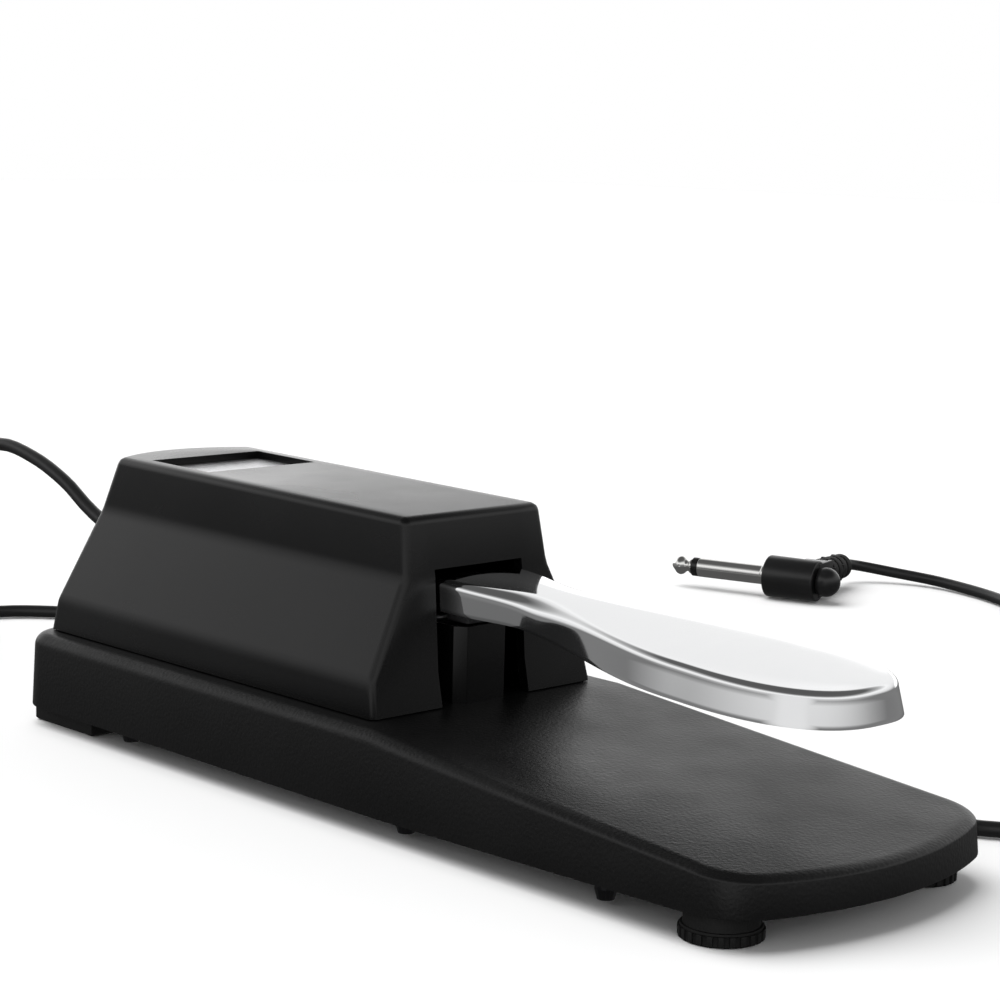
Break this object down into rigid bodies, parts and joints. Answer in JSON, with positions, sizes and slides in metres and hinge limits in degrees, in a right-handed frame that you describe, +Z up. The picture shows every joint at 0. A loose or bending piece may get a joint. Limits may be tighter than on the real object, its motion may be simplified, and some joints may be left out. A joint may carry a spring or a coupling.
{
  "type": "sustain pedal",
  "caption": "Sustain pedal with a low black base, faceted housing, sprung chrome lever, inner switch, and a cord ending in a right-angle jack plug.",
  "frame": {"origin": "on the floor under the centre of the pedal's own box, cord left out", "axes": "+Z up, the lever points to -Y, the cord leaves the housing towards +Y"},
  "size_m": [0.347, 0.3651, 0.067],
  "materials": {
    "grained_black": "fine grain, matte",
    "moulded_black": "satin moulded plastic",
    "steel": "zinc-plated steel",
    "chrome": "bright chrome plate",
    "silver_badge": "brushed silver, blank",
    "rubber": "black rubber",
    "felt": "dense felt",
    "nylon": "natural nylon",
    "circuit_green": "circuit board lacquer",
    "cord_black": "smooth black cord jacket",
    "insulator": "black insulating ring"
  },
  "bodies": {
    "base": {"badge_plate": "silver_badge", "base_shell": "grained_black", "board_screw_left": "steel", "board_screw_right": "steel", "board_spacer_left": "nylon", "board_spacer_right": "nylon", "bottom_plate": "steel", "cable_gland": "rubber", "circuit_board": "circuit_green", "coil_tie": "rubber", "cord_coil": "cord_black", "cord_lead": "cord_black", "cord_tail": "cord_black", "cover_screw_1": "steel", "cover_screw_2": "steel", "cover_screw_3": "steel", "cover_screw_4": "steel", "down_stop_pad": "felt", "foot_screw_left": "steel", "foot_screw_right": "steel", "front_foot_left": "rubber", "front_foot_right": "rubber", "inner_lead": "cord_black", "pin_clip_left": "steel", "pin_clip_right": "steel", "pivot_bracket": "steel", "pivot_bush_left": "nylon", "pivot_bush_right": "nylon", "pivot_pin": "steel", "plate_screw_1": "steel", "plate_screw_2": "steel", "plate_screw_3": "steel", "plate_screw_4": "steel", "plate_screw_5": "steel", "plate_screw_6": "steel", "plug_body": "moulded_black", "plug_insulator": "insulator", "plug_knob": "moulded_black", "plug_relief": "rubber", "plug_sleeve": "chrome", "plug_tip": "chrome", "rear_pad": "rubber", "rest_stop_pad": "felt", "rest_stop_post": "moulded_black", "return_spring": "steel", "spring_seat": "nylon", "switch_body": "moulded_black", "top_cover": "moulded_black"},
    "pedal": {"pedal_lever": "chrome", "spring_cup": "nylon"},
    "plunger": {"switch_plunger": "nylon"}
  },
  "joints": [
    {"name": "pedal_hinge", "type": "hinge", "parent": "base", "child": "pedal", "pos_m": [0, 0.045, 0.0455], "axis": [1, 0, 0], "range_deg": [0, 6.5], "stiffness_Nm_per_rad": 6, "springref_deg": -8.59, "deforming": ["return_spring"]},
    {"name": "switch_slide", "type": "slide", "parent": "base", "child": "plunger", "axis": [0, 0, -1], "range_m": [0, 0.0024], "stiffness_N_per_m": 60}
  ],
  "couplings": [
    {"joint": "switch_slide", "follows": "pedal_hinge", "m_per_rad": 0.0206}
  ]
}
